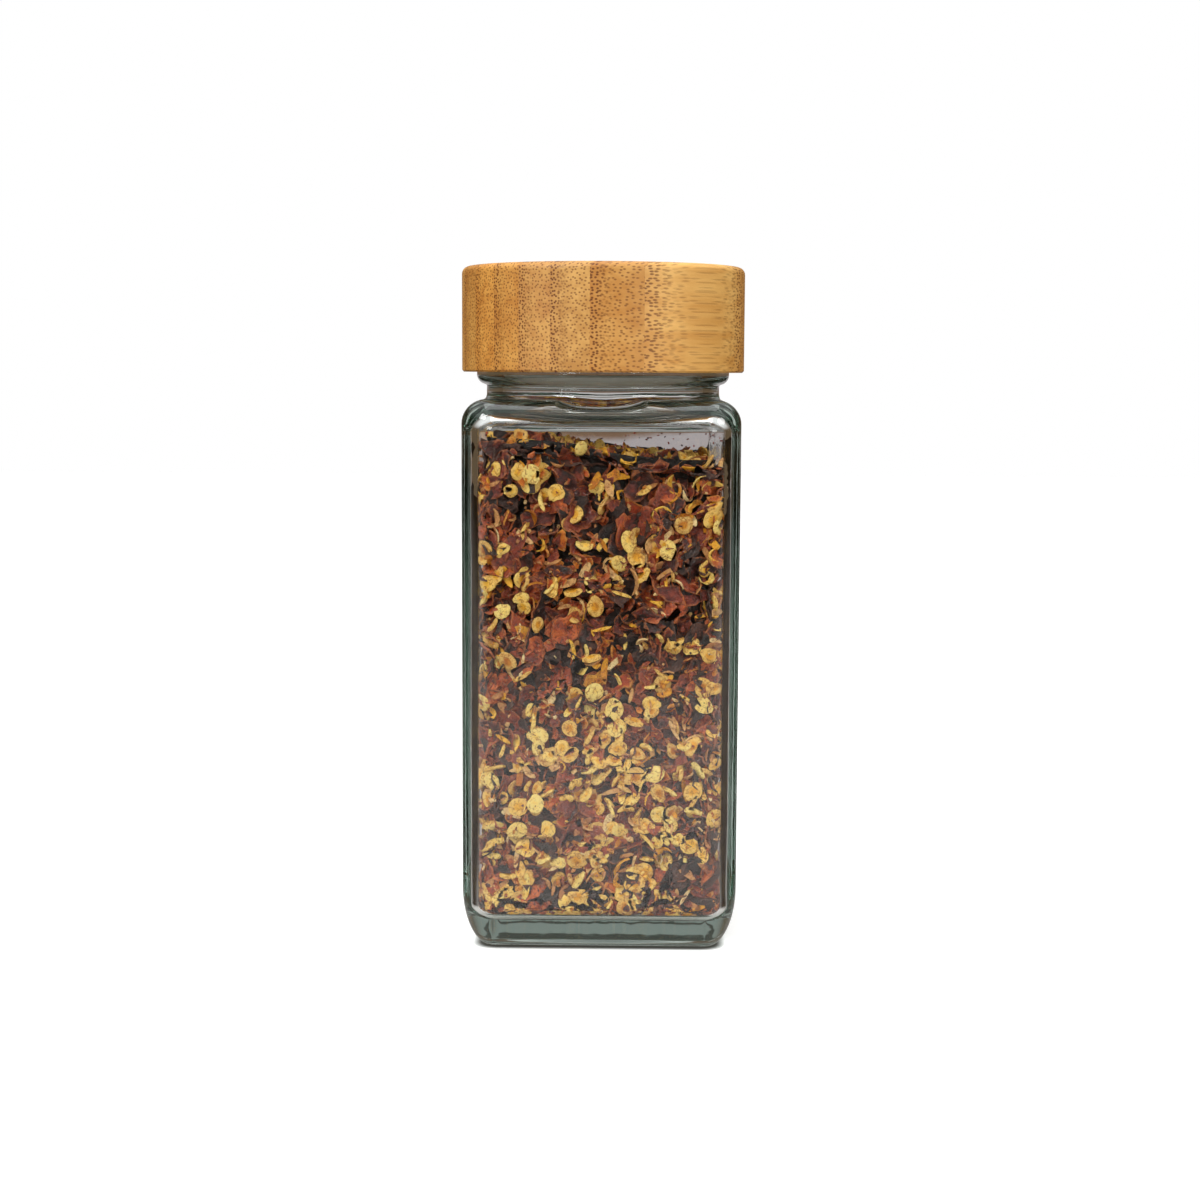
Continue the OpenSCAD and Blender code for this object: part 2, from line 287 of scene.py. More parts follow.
def tube_of_rings(rings):
    """A closed tube spun from a ladder of edges, with each ring moved to its own outline."""
    bm = bmesh.new()
    ladder = [bm.verts.new((1, 0, number)) for number in range(len(rings))]
    rungs = [bm.edges.new(pair) for pair in zip(ladder, ladder[1:])]
    bmesh.ops.spin(bm, geom=ladder + rungs, cent=(0, 0, 0), axis=(0, 0, 1),
                   angle=math.tau, steps=AROUND, use_merge=True)
    for vert in bm.verts:
        step = round(math.atan2(vert.co.y, vert.co.x) / math.tau * AROUND)
        vert.co = Vector(rings[round(vert.co.z)](step)) * MM
    bmesh.ops.remove_doubles(bm, verts=bm.verts, dist=WELD)
    bmesh.ops.recalc_face_normals(bm, faces=bm.faces)
    return bm


# %% [markdown]
# ## The shoulder
#
# The shoulder rolls over from the square body and then meets the round foot of the neck. In the middle
# of each side the neck's foot stands on the rolled edge itself, and over the corners there is a flat
# between the two, so each step round the jar gets its own path, divided evenly.

# %% Shoulder
FOOT_R = NECK_R + NECK_FOOT_R
SHOULDER_RINGS = 20
EDGE_STEPS = 30


def shoulder_path(step):
    """Points from the wall over the shoulder's edge to the foot of the neck, at one step."""
    path = []
    for r, z in round_arc(CORNER_R - SHOULDER_R, SHOULDER_Z - SHOULDER_R, SHOULDER_R, 0, 90, EDGE_STEPS):
        x, y = square_point(step, STRAIGHT + r, r)
        if math.hypot(x, y) <= FOOT_R:
            break
        path.append(Vector((x, y, z)))
    path.append(Vector((*circle_point(step, FOOT_R), path[-1].z if z < SHOULDER_Z else SHOULDER_Z)))
    return path


def along(path, share):
    """The point at this share of a path's length."""
    lengths = [(b - a).length for a, b in zip(path, path[1:])]
    left = share * sum(lengths)
    for a, b, length in zip(path, path[1:], lengths):
        if left <= length:
            return a.lerp(b, left / length)
        left -= length
    return path[-1]


def foot_ring(r, z):
    """A ring of the fillet between the shoulder, whose height varies, and the neck."""
    rise = (z - SHOULDER_Z) / NECK_FOOT_R

    def ring(step):
        low = shoulder_paths[step % AROUND][-1].z
        return (*circle_point(step, r), low + (SHOULDER_Z + NECK_FOOT_R - low) * rise)

    return ring


shoulder_paths = [shoulder_path(step) for step in range(AROUND)]
shoulder_rings = [
    lambda step, share=number / SHOULDER_RINGS: along(shoulder_paths[step % AROUND], share)
    for number in range(1, SHOULDER_RINGS + 1)
]
print("the shoulder's flat starts between", round(min(path[-1].z for path in shoulder_paths), 2),
      "and", round(max(path[-1].z for path in shoulder_paths), 2), "mm")

# %% [markdown]
# ## The thread
#
# The thread is a low ridge that climbs round the neck one and a quarter times. A ridge of its own would
# leave a seam, which shows in clear glass. So the neck's rings lie close together, and each of their
# points is pushed out where the ridge passes it.

# %% Thread
RUN_OUTS_A_TURN = 12


def thread_out(step, z):
    """How far the thread stands out of the neck at this step and height."""
    out = 0
    x, y = circle_point(step, 1)
    for turn in (0, 1):
        turns = math.atan2(y, x) / math.tau % 1 + turn
        run_out = min(1, min(turns, THREAD_TURNS - turns) * RUN_OUTS_A_TURN)
        off_centre = abs(z - THREAD_Z - THREAD_PITCH * turns)
        flank = (THREAD_FOOT_W / 2 - off_centre) / ((THREAD_FOOT_W - THREAD_CREST_W) / 2)
        out = max(out, THREAD_H * min(1, max(0, flank)) * max(0, run_out))
    return out


def thread_ring(z):
    """A ring of the neck with the thread on it."""
    return lambda step: (*circle_point(step, NECK_R + thread_out(step, z)), z)


print("the thread climbs to", round(THREAD_Z + THREAD_PITCH * THREAD_TURNS, 2), "mm")

# %% [markdown]
# ## The outside of the glass
#
# The rings run from the middle of the underside out to the ring that the jar stands on, up the wall,
# over the shoulder and up the neck to the rim. The underside is a low dome with a small step at its edge.

# %% Rings of the outside
PUSH_UP_STEP = 0.5
PUSH_UP_RADII = (0, 2.5, 5, 7.5, 10, 12, 13.2, 14.1)
PUSH_UP_EDGE = [(14.4, 0.06), (14.8, 0)]
REST_RING_IN = PUSH_UP_R + 1.4
BODY_SPACING = 6
THREAD_SPACING = 0.2


def dome_z(r, radius, height):
    """Height of a low spherical cap at this distance from its middle."""
    sphere = (radius ** 2 + height ** 2) / (2 * height)
    return height - sphere + math.sqrt(sphere ** 2 - r ** 2)


def body_rings():
    """From the middle of the underside to the foot of the neck."""
    dome_h = PUSH_UP_H - PUSH_UP_STEP
    push_up = [(r, dome_z(r, PUSH_UP_R, dome_h) + PUSH_UP_STEP) for r in PUSH_UP_RADII]
    wall_top_z = SHOULDER_Z - SHOULDER_R
    wall = [(CORNER_R, z) for z in even(HEEL_H, wall_top_z, BODY_SPACING)]
    return (circles(push_up + PUSH_UP_EDGE + [(REST_RING_IN, 0)])
            + squares(STRAIGHT, arc(CORNER_R - HEEL_IN, HEEL_H, HEEL_IN, HEEL_H, -90, 0, 16))
            + squares(STRAIGHT, wall + [(CORNER_R, wall_top_z)])
            + shoulder_rings)


def neck_rings():
    """From the foot of the neck over its bead and its thread to the rim."""
    foot = round_arc(FOOT_R, SHOULDER_Z + NECK_FOOT_R, NECK_FOOT_R, -90, -180, 6)[1:]
    under_bead = round_arc(NECK_R + FILLET_R, BEAD_Z - FILLET_R, FILLET_R, 180, 90, 3)
    bead = round_arc(NECK_R, BEAD_Z + BEAD_OUT, BEAD_OUT, -78, 0, 10)
    bead_top = round_arc(NECK_R + BEAD_OUT - BEAD_TOP_R, BEAD_TOP_Z - BEAD_TOP_R, BEAD_TOP_R, 0, 90, 5)
    over_bead = round_arc(NECK_R + FILLET_R, BEAD_TOP_Z + FILLET_R, FILLET_R, -90, -180, 3)
    rim = round_arc(NECK_R - RIM_R, RIM_Z - RIM_R, RIM_R, 0, 90, 6)
    return ([foot_ring(r, z) for r, z in foot]
            + circles(under_bead + bead + bead_top + over_bead)
            + [thread_ring(z) for z in even(BEAD_TOP_Z + FILLET_R, RIM_Z - RIM_R, THREAD_SPACING)]
            + circles(rim))


print(len(body_rings()), "rings up to the neck and", len(neck_rings()), "up to the rim")

# %% [markdown]
# ## The inside of the glass
#
# From the rim the rings go on down the bore and along the cavity to the middle of its floor. That makes
# one closed wall of glass, with its thickness between the two surfaces, so light bends twice on its way
# through, as it does in the real jar. The inner wall of a blown jar is never quite flat, and a slow wave
# of a tenth of a millimetre gives it that look.

# %% Rings of the inside
INNER_WAVE = 0.1
WAVE_SPAN = 14
BORE_SPACING, CAVITY_SPACING = 3, 2.5
FLOOR_RADII = (FLOOR_DOME_R, 14.5, 12, 9, 6, 3, 0)


def wavy_square(z):
    """A ring of the cavity's wall, a little uneven."""
    def ring(step):
        x, y = square_point(step, CAVITY_HALF, CAVITY_CORNER_R)
        swell = 1 + INNER_WAVE * noise.noise(Vector((x, y, z)) / WAVE_SPAN) / CAVITY_HALF
        return x * swell, y * swell, z

    return ring


def bore_rings():
    """From the rim down the bore to the cavity's ceiling."""
    rim = round_arc(BORE_R + FILLET_R, RIM_Z - FILLET_R, FILLET_R, 90, 180, 3)
    bore = [(BORE_R, z) for z in even(RIM_Z - FILLET_R, CAVITY_TOP_Z + LIP_R, BORE_SPACING)]
    lip = round_arc(BORE_R + LIP_R, CAVITY_TOP_Z + LIP_R, LIP_R, 180, 270, 4)
    return circles(rim + bore + lip)


def cavity_rings():
    """From the cavity's ceiling to the middle of its floor."""
    straight = CAVITY_HALF - CAVITY_CORNER_R
    inner_r = CAVITY_CORNER_R - CAVITY_ROUND_R
    top_z, low_z = CAVITY_TOP_Z - CAVITY_ROUND_R, CAVITY_FLOOR_Z + CAVITY_ROUND_R
    floor_dome = [(r, CAVITY_FLOOR_Z + dome_z(r, FLOOR_DOME_R, FLOOR_DOME_H)) for r in FLOOR_RADII]
    return (squares(straight, round_arc(inner_r, top_z, CAVITY_ROUND_R, 90, 0, 10))
            + [wavy_square(z) for z in even(top_z, low_z, CAVITY_SPACING)]
            + squares(straight, round_arc(inner_r, low_z, CAVITY_ROUND_R, 0, -90, 10))
            + circles(floor_dome))


print(len(bore_rings()), "rings down the bore and", len(cavity_rings()), "down the cavity")

# %% [markdown]
# ## Soda-lime glass
#
# Jar glass is soda-lime glass with a trace of iron. Its fire-polished surface is smooth but for a faint
# swirl, it bends light with an IOR of about 1.52, and the iron only shows where light runs far through
# it: at the edges and in the thick base, which look grey-green. So the tint is an absorption in the
# volume and not a colour of the surface. Lamps reach the pepper straight through a Transparent shader.

# %% Glass
def soda_lime_glass():
    """Clear glass with a grey-green depth."""
    material, tree, output = new_material("soda_lime_glass_pressed")
    swirl = add(tree, "TexNoise", {"Vector": object_place(tree), "Scale": 260.0, "Detail": 2.0})
    uneven = add(tree, "Bump", {"Height": swirl.outputs[0], "Strength": 0.03, "Distance": 0.5 * MM})
    glass = add(tree, "BsdfPrincipled", {
        "Base Color": linear("#ffffff"), "Roughness": 0.0, "IOR": 1.52, "Transmission Weight": 1.0,
        "Normal": uneven.outputs[0]})
    clear = add(tree, "BsdfTransparent", {"Color": linear("#f1f5f2")})
    path = add(tree, "LightPath")
    unseen = maths(tree, "MAXIMUM", path.outputs["Is Shadow Ray"], path.outputs["Is Diffuse Ray"])
    mixed = add(tree, "MixShader", {0: unseen, 1: glass.outputs[0], 2: clear.outputs[0]})
    iron = add(tree, "VolumeAbsorption", {"Color": linear("#a6c9bb"), "Density": 26.0})
    tree.links.new(mixed.outputs[0], output.inputs["Surface"])
    tree.links.new(iron.outputs[0], output.inputs["Volume"])
    return material


glass_rings = body_rings() + neck_rings() + bore_rings() + cavity_rings()
glass_piece = finished("jar_glass", tube_of_rings(glass_rings), soda_lime_glass(), "jar")
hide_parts("glass_jar")

# %% [markdown]
# ## The crushed pepper
#
# Crushed red pepper is dried pods broken into flakes, with their seeds. Against the glass one sees
# leathery flakes from dark maroon to brick red, pale yellow seeds like small dished coins, curled
# slivers of the pith, and fine crumbs. Each kind gets its own small shape, made by operators, bent
# and torn by seeded random numbers. They are laid on the lumpy surface of the imported solid, found by
# casting rays at it, and pressed back inside the cavity. A core just under that surface stands for all
# that lies too deep to be seen. It and the deepest flakes wear painted shade, a near-black finish that
# stands in for the shade among the pieces.

# %% The heap's surface
rng = random.Random(20)

packed = bmesh.new()
packed.from_mesh(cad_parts["spice_fill"].data)
packed.transform(Matrix.Scale(1 / MM, 4))
packed.normal_update()
heap_surface = BVHTree.FromBMesh(packed)
HEAP_TOP = max(vert.co.z for vert in packed.verts)
print("the heap's top is at", round(HEAP_TOP, 1), "mm")

# %% The room inside the cavity
GLASS_GAP = 0.06


def square_radius(x, y):
    """How far out a point lies, so that it equals CAVITY_HALF everywhere on the cavity's outline."""
    x, y, straight = abs(x), abs(y), CAVITY_HALF - CAVITY_CORNER_R
    if x > straight and y > straight:
        return straight + math.hypot(x - straight, y - straight)
    return max(x, y)


def cavity_floor(x, y):
    """Height of the cavity's floor with its dome and its rounded edge."""
    edge = square_radius(x, y) - (CAVITY_HALF - CAVITY_ROUND_R)
    if edge <= 0:
        return CAVITY_FLOOR_Z + dome_z(min(math.hypot(x, y), FLOOR_DOME_R), FLOOR_DOME_R, FLOOR_DOME_H)
    edge = min(edge, CAVITY_ROUND_R)
    return CAVITY_FLOOR_Z + CAVITY_ROUND_R - math.sqrt(CAVITY_ROUND_R ** 2 - edge ** 2)


def pressed_inside(point):
    """The point, moved the least that keeps it off the glass."""
    half = CAVITY_HALF - INNER_WAVE / 2 - GLASS_GAP
    corner = CAVITY_CORNER_R - INNER_WAVE / 2 - GLASS_GAP
    straight = half - corner
    x, y = max(-half, min(half, point.x)), max(-half, min(half, point.y))
    if abs(x) > straight and abs(y) > straight:
        away = math.hypot(abs(x) - straight, abs(y) - straight)
        if away > corner:
            x = math.copysign(straight + (abs(x) - straight) * corner / away, x)
            y = math.copysign(straight + (abs(y) - straight) * corner / away, y)
    return Vector((x, y, max(point.z, cavity_floor(x, y) + GLASS_GAP)))


def wall_place(travel, z):
    """Place and outward direction on the cavity's wall, this far round it and this high."""
    straight = CAVITY_HALF - CAVITY_CORNER_R
    side = 2 * straight + CAVITY_CORNER_R * math.pi / 2
    quarter, rest = divmod(travel, side)
    if rest < 2 * straight:
        place, out = Vector((CAVITY_HALF, rest - straight, z)), Vector((1, 0, 0))
    else:
        angle = (rest - 2 * straight) / CAVITY_CORNER_R
        out = Vector((math.cos(angle), math.sin(angle), 0))
        place = Vector((straight, straight, z)) + out * CAVITY_CORNER_R
    turn = Matrix.Rotation(quarter * math.pi / 2, 3, "Z")
    return turn @ place, turn @ out


WALL_LENGTH = 8 * (CAVITY_HALF - CAVITY_CORNER_R) + math.tau * CAVITY_CORNER_R
MM2_IN_CM2 = 100
print("pepper on", round(WALL_LENGTH * (HEAP_TOP - CAVITY_FLOOR_Z) / MM2_IN_CM2), "square cm of wall")

# %% [markdown]
# ## Flakes
#
# A flake is a scrap of the pod's wall that curled as it dried. It starts as a flat grid, which is
# rounded and torn, rolled about a line, rippled, and given a thickness. Its points carry two marks for
# the finish to read: tone, which differs from scrap to scrap, and edge, which is 1 along the tear.

# %% Torn and curled leaves
LOBES = ((2, 0.5), (3, 0.4), (5, 0.35))
FRAY, FRAYED_AT = 0.12, 0.35
TORN_FROM = 0.99
TIGHTEST_CURL = 2.6
RIPPLE_RATE = 0.7
RIPPLE_SEATS = 100


def marked_mesh():
    """An empty bmesh with room for the marks that the finishes read."""
    bm = bmesh.new()
    bm.verts.layers.float.new("tone")
    bm.verts.layers.float.new("edge")
    return bm


def leaf_grid(columns, rows):
    """A flat grid, two units a side."""
    bm = marked_mesh()
    bmesh.ops.create_grid(bm, x_segments=columns, y_segments=rows, size=1)
    return bm


def torn_disc(bm, length, width, ragged):
    """Rounds a grid of two units a side into a torn leaf of this length and width."""
    phases = [rng.uniform(0, math.tau) for _ in LOBES]
    edge = bm.verts.layers.float["edge"]
    for vert in bm.verts:
        u, v = vert.co.x, vert.co.y
        vert[edge] = 1.0 if max(abs(u), abs(v)) > TORN_FROM else 0.0
        x, y = u * math.sqrt(1 - v * v / 2), v * math.sqrt(1 - u * u / 2)
        angle = math.atan2(y, x)
        lobes = [size * math.cos(count * angle + phase) for (count, size), phase in zip(LOBES, phases)]
        tear = 1 + ragged * sum(lobes)
        tear *= 1 + rng.uniform(-FRAY, FRAY) * ragged / FRAYED_AT
        vert.co = (x * tear * length / 2, y * tear * width / 2, 0)


def bend(bm, radius, direction, ripple=0.0):
    """Rolls a flat leaf about a line, and ripples it."""
    across = Vector((math.cos(direction), math.sin(direction), 0))
    seat = rng.uniform(0, RIPPLE_SEATS)
    for vert in bm.verts:
        reach = vert.co.dot(across)
        angle = max(-TIGHTEST_CURL, min(TIGHTEST_CURL, reach / radius))
        lift = radius * (1 - math.cos(angle))
        vert.co += across * (radius * math.sin(angle) - reach)
        vert.co.z += lift + ripple * noise.noise(Vector((vert.co.x, vert.co.y, seat)) * RIPPLE_RATE)


# %% Flakes and chips
def flake(grid, length, width, ragged, thick, curl, ripple):
    """A piece of dried pod wall: a torn, curled and rippled leaf with a thickness."""
    bm = leaf_grid(*grid)
    torn_disc(bm, length, width, ragged)
    bend(bm, curl, rng.uniform(0, math.tau), ripple)
    bmesh.ops.solidify(bm, geom=bm.faces[:], thickness=thick)
    return bm


def big_flake():
    """A scrap as large as a fingernail."""
    return flake((5, 4), length=rng.uniform(4.5, 8.5), width=rng.uniform(3, 5.5), ragged=0.3,
                 thick=rng.uniform(0.2, 0.35), curl=rng.uniform(4, 14), ripple=1.0)


def small_flake():
    """A scrap of some millimetres, more tightly curled."""
    length = rng.uniform(2.2, 5)
    return flake((4, 3), length, width=length * rng.uniform(0.4, 0.9), ragged=0.36,
                 thick=rng.uniform(0.15, 0.3), curl=rng.uniform(1.8, 9), ripple=0.8)


def chip():
    """A splinter that fell off a flake."""
    length = rng.uniform(1.2, 3.2)
    return flake((3, 2), length, width=length * rng.uniform(0.3, 0.8), ragged=0.3,
                 thick=rng.uniform(0.2, 0.4), curl=rng.uniform(1.2, 5), ripple=0.4)


# %% [markdown]
# ## Seeds, slivers and crumbs
#
# A pepper seed is a flat disc with a thick rim, a small beak where it hung in the pod, and a notch
# beside it. It is a sphere with few segments, flattened, and flattened more at its poles. The pith
# breaks into narrow curled slivers, and all of it sheds crumbs.

# %% Seeds, slivers and crumbs
BEAK, BEAK_SHARPNESS = 0.16, 6
NOTCH, NOTCH_SHARPNESS, NOTCH_ANGLE = 0.2, 10, 0.7
RIM_THICKNESS, DISH_THICKNESS = 1.15, 0.35
POLE_R = 0.01
BLUNT_END = 0.04


def seed():
    """A pepper seed: a dished coin with a thick rim and a small beak beside a notch."""
    bm = marked_mesh()
    edge = bm.verts.layers.float["edge"]
    bmesh.ops.create_uvsphere(bm, u_segments=14, v_segments=5, radius=1)
    radius = rng.uniform(1.25, 1.9)
    thick, squeeze = rng.uniform(0.28, 0.42), rng.uniform(0.74, 1.0)
    for vert in bm.verts:
        pole = math.hypot(vert.co.x, vert.co.y) < POLE_R
        angle = math.atan2(vert.co.y, vert.co.x)
        vert[edge] = 0.0 if pole else 1.0
        beak = BEAK * max(0, math.cos(angle)) ** BEAK_SHARPNESS
        notch = NOTCH * max(0, math.cos(angle - NOTCH_ANGLE)) ** NOTCH_SHARPNESS
        outline = 1 + beak - notch
        vert.co.x *= radius * outline
        vert.co.y *= radius * outline * squeeze
        vert.co.z *= thick * (DISH_THICKNESS if pole else RIM_THICKNESS)
    bend(bm, rng.uniform(2.5, 9), rng.uniform(0, math.tau))
    return bm


def sliver():
    """A curled strip of pith or seed coat, narrow at both ends."""
    bm = leaf_grid(6, 1)
    length, width = rng.uniform(2.2, 5.2), rng.uniform(0.5, 1.3)
    for vert in bm.verts:
        taper = math.sqrt(max(BLUNT_END, 1 - vert.co.x ** 2))
        vert.co = (vert.co.x * length / 2, vert.co.y * width / 2 * taper, 0)
    bend(bm, rng.uniform(1.0, 3.5), rng.uniform(-0.3, 0.3), 0.2)
    bmesh.ops.solidify(bm, geom=bm.faces[:], thickness=rng.uniform(0.2, 0.4))
    return bm


def crumb():
    """A crumb of pod or seed."""
    bm = marked_mesh()
    bmesh.ops.create_icosphere(bm, subdivisions=1, radius=1)
    stretch = [rng.uniform(0.18, 0.55) for _ in range(3)]
    for vert in bm.verts:
        rough = rng.uniform(0.75, 1.2)
        vert.co = [value * size * rough for value, size in zip(vert.co, stretch)]
    return bm


# %% [markdown]
# ## Laying the pepper
#
# A ray cast at the heap tells where a scrap lies and which way the heap's surface faces there. Rays come
# in through the walls, down on the top and up through the base, the sides that can be seen. Most scraps
# lie flat against the glass, and some stand on edge. Dust clings to the glass over the heap. Each heap
# is joined into one mesh, because thousands of small objects would be slow.

# %% Rays at the heap
FLOOR_MARGIN = 0.6
TOP_EDGE, FLOOR_EDGE = 0.6, 1
DOWN, UP = Vector((0, 0, -1)), Vector((0, 0, 1))


def at_wall():
    """A ray that comes in through the wall."""
    height = rng.uniform(CAVITY_FLOOR_Z + FLOOR_MARGIN, HEAP_TOP)
    place, out = wall_place(rng.uniform(0, WALL_LENGTH), height)
    return place, -out


def at_low_wall():
    """A ray that comes in through the lower half of the wall, where seeds have settled."""
    travel = rng.uniform(0, WALL_LENGTH)
    place, out = wall_place(travel, rng.uniform(CAVITY_FLOOR_Z + FLOOR_MARGIN, HEAP_TOP / 2))
    return place, -out


def at_top():
    """A ray that comes down on the heap."""
    reach = CAVITY_HALF - TOP_EDGE
    return Vector((rng.uniform(-reach, reach), rng.uniform(-reach, reach), RIM_Z)), DOWN


def at_floor():
    """A ray that comes up through the base."""
    reach = CAVITY_HALF - FLOOR_EDGE
    return Vector((rng.uniform(-reach, reach), rng.uniform(-reach, reach), 0)), UP


# %% Laying shapes where the rays meet the heap
NEAREST = 0.35
TOP_MARGIN = 2.4
TOP_SINK = 1.1
INWARD = 0.9
ON_EDGE = (45, 90)


def top_over(place):
    """Height of the heap's top just inside a place at its wall."""
    inside = Vector((place.x * INWARD, place.y * INWARD, RIM_Z))
    return heap_surface.ray_cast(inside, DOWN)[0].z


def facing(out, tilt):
    """A turn that lays a leaf's face to this direction, tilted and spun at random."""
    lay = out.to_track_quat("Z", "Y").to_matrix().to_4x4()
    lean = Matrix.Rotation(rng.uniform(0, math.tau), 4, "Z") @ Matrix.Rotation(tilt, 4, "X")
    return lay @ lean @ Matrix.Rotation(rng.uniform(0, math.tau), 4, "Z")


def laid(count, make, depth, lean, flip, cast):
    """Shapes laid on the heap where rays meet it, this deep under its surface.

    Lean is the usual tilt in degrees, and flip the share of shapes that stand on edge. A depth under
    zero lifts a shape off the heap, and what would lie in the wall stays close behind the glass. Near
    the heap's top nothing is laid from the side.
    """
    while count:
        start, way = cast()
        place, out, _, room = heap_surface.ray_cast(start, way)
        if place is None or way.z == 0 and place.z > top_over(place) - TOP_MARGIN:
            continue
        count -= 1
        tilt = rng.uniform(*ON_EDGE) if rng.random() < flip else rng.gauss(0, lean)
        place = place - out * max(rng.uniform(*depth), NEAREST - room)
        yield make(), Matrix.Translation(place) @ facing(out, math.radians(tilt))


def on_all_sides(wall, top, floor, make, depth, lean=18, flip=0.0):
    """Shapes on the walls, on the top and on the floor, so many on each."""
    sunk = (depth[0] + TOP_SINK, depth[1] + TOP_SINK)
    for count, deep, cast in ((wall, depth, at_wall), (top, sunk, at_top), (floor, depth, at_floor)):
        yield from laid(count, make, deep, lean, flip, cast)


# %% Dust on the glass, and heaps
DUST_LOW = HEAP_TOP - 2
DUST_HIGH = CAVITY_TOP_Z - CAVITY_ROUND_R
DUST_OFF_WALL = 0.2
DUST_SIZE = 0.5
SHARP_ANGLE = math.radians(50)


def clinging(count):
    """Small crumbs that cling to the glass over the heap."""
    for _ in range(count):
        height = rng.uniform(DUST_LOW, DUST_HIGH)
        place, out = wall_place(rng.uniform(0, WALL_LENGTH), height)
        lay = Matrix.Translation(place - out * DUST_OFF_WALL)
        yield crumb(), lay @ facing(out, 0) @ Matrix.Scale(DUST_SIZE, 4)


def heap(name, shapes, material):
    """Joins many small shapes, each with the place and turn that it is laid with."""
    joined = marked_mesh()
    carrier = bpy.data.meshes.new("carrier")
    for bm, matrix in shapes:
        tone = bm.verts.layers.float["tone"]
        shade = rng.random()
        bm.transform(matrix)
        for vert in bm.verts:
            vert.co = pressed_inside(vert.co) * MM
            vert[tone] = shade
        bmesh.ops.recalc_face_normals(bm, faces=bm.faces)
        bm.to_mesh(carrier)
        bm.free()
        joined.from_mesh(carrier)
    bpy.data.meshes.remove(carrier)
    piece = finished(name, joined, material, "jar")
    piece.data.set_sharp_from_angle(angle=SHARP_ANGLE)


# %% [markdown]
# ## Finishes of the pepper
#
# Dried pod skin is waxy, so it is dark with small soft glints on its wrinkles, and it is paler along
# its torn edges. Seeds and pith are duller and pale. One recipe makes them all: the tone mark picks a
# colour, a noise of about a millimetre mottles it, and a finer, twisted noise stands for the fibres. It
# wears the edges, paints shade into the creases, roughens the gloss and lifts the skin.

# %% Recipe of the pepper's finishes
MOTTLE_RATE, FIBRE_RATE = 700.0, 1500.0
MOTTLE_RANGE = (0.3, 0.7)
EDGE_RANGE = (0.55, 1)
# Painted shade in the creases: the fibre values that darken, and how dark they get at most.
CREASE_SHADE_RANGE, CREASE_SHADE_DARK = (0.38, 0.5), 0.75
GLOSS_SPREAD = 0.15


def pepper_finish(name, stops, edge_colour, crease_shade_colour, roughness, mottle, glint=0.5, relief=0.5):
    """A dry, fibrous skin whose colour is picked by its tone, with painted shade in its creases. Relief
    is in millimetres.
    """
    material, tree, output = new_material(name)
    tone = add(tree, "Attribute", attribute_name="tone").outputs["Fac"]
    edge = add(tree, "Attribute", attribute_name="edge").outputs["Fac"]
    place = object_place(tree)
    blotch = add(tree, "TexNoise", {"Vector": place, "Scale": MOTTLE_RATE, "Detail": 4.0}).outputs[0]
    fibre = add(tree, "TexNoise", {"Vector": place, "Scale": FIBRE_RATE, "Detail": 5.0,
                                   "Roughness": 0.65, "Distortion": 1.2}).outputs[0]
    shift = remap(tree, blotch, MOTTLE_RANGE, (-mottle, mottle))
    colour = ramp(tree, maths(tree, "ADD", tone, shift, clamp=True), stops)
    worn = maths(tree, "MULTIPLY", remap(tree, edge, EDGE_RANGE), fibre)
    edged = blend(tree, worn, colour, linear(edge_colour))
    # Painted shade: where the fibre noise is low the colour darkens towards the crease colour, standing
    # in for shade in the creases.
    crease_shade_share = remap(tree, fibre, CREASE_SHADE_RANGE, (CREASE_SHADE_DARK, 0))
    crease_shaded = blend(tree, crease_shade_share, edged, linear(crease_shade_colour))
    gloss = remap(tree, fibre, (0, 1), (roughness - GLOSS_SPREAD, roughness + GLOSS_SPREAD))
    bump = add(tree, "Bump", {"Height": fibre, "Strength": 1.0, "Distance": relief * MM})
    skin = add(tree, "BsdfPrincipled", {"Base Color": crease_shaded, "Roughness": gloss,
                                        "Specular IOR Level": glint, "Normal": bump.outputs[0]})
    tree.links.new(skin.outputs[0], output.inputs["Surface"])
    return material


# %% Finishes of skin, flesh, seeds and pith
pod_skin = pepper_finish(
    "chilli_pod_dried_and_crushed",
    [(0.0, "#1c0805"), (0.18, "#481008"), (0.4, "#741f0b"), (0.58, "#8a2f17"), (0.75, "#9c3a18"),
     (0.9, "#b44418"), (1.0, "#d06024")],
    edge_colour="#cc6e34", crease_shade_colour="#180604", roughness=0.4, mottle=0.25, glint=0.6)
# Painted shade: a near-black copy of the skin's finish for the core and the deepest flakes, in place of
# the shade among the pieces.
pod_painted_shade = pepper_finish(
    "chilli_pod_painted_shade",
    [(0.0, "#0e0605"), (0.4, "#26100c"), (0.75, "#3c1c14"), (1.0, "#552a1c")],
    edge_colour="#5c3322", crease_shade_colour="#0a0403", roughness=0.5, mottle=0.2)
pod_flesh = pepper_finish(
    "chilli_flesh_orange",
    [(0.0, "#9c2f10"), (0.35, "#c44c14"), (0.7, "#e0741c"), (1.0, "#f0a030")],
    edge_colour="#f2ac50", crease_shade_colour="#74240a", roughness=0.45, mottle=0.2)
seed_coat = pepper_finish(
    "chilli_seed_dried",
    [(0.0, "#b8620e"), (0.3, "#ea9a20"), (0.65, "#fdba3e"), (1.0, "#ffda80")],
    edge_colour="#ffd680", crease_shade_colour="#a05210", roughness=0.5, mottle=0.2, glint=0.4, relief=0.3)
pod_pith = pepper_finish(
    "chilli_pith_dried",
    [(0.0, "#b87448"), (0.4, "#dc985c"), (0.75, "#f0b878"), (1.0, "#fad69c")],
    edge_colour="#f8d8a4", crease_shade_colour="#965028", roughness=0.55, mottle=0.2, glint=0.4, relief=0.4)
print("pepper finishes", [m.name for m in (pod_skin, pod_painted_shade, pod_flesh, seed_coat, pod_pith)])

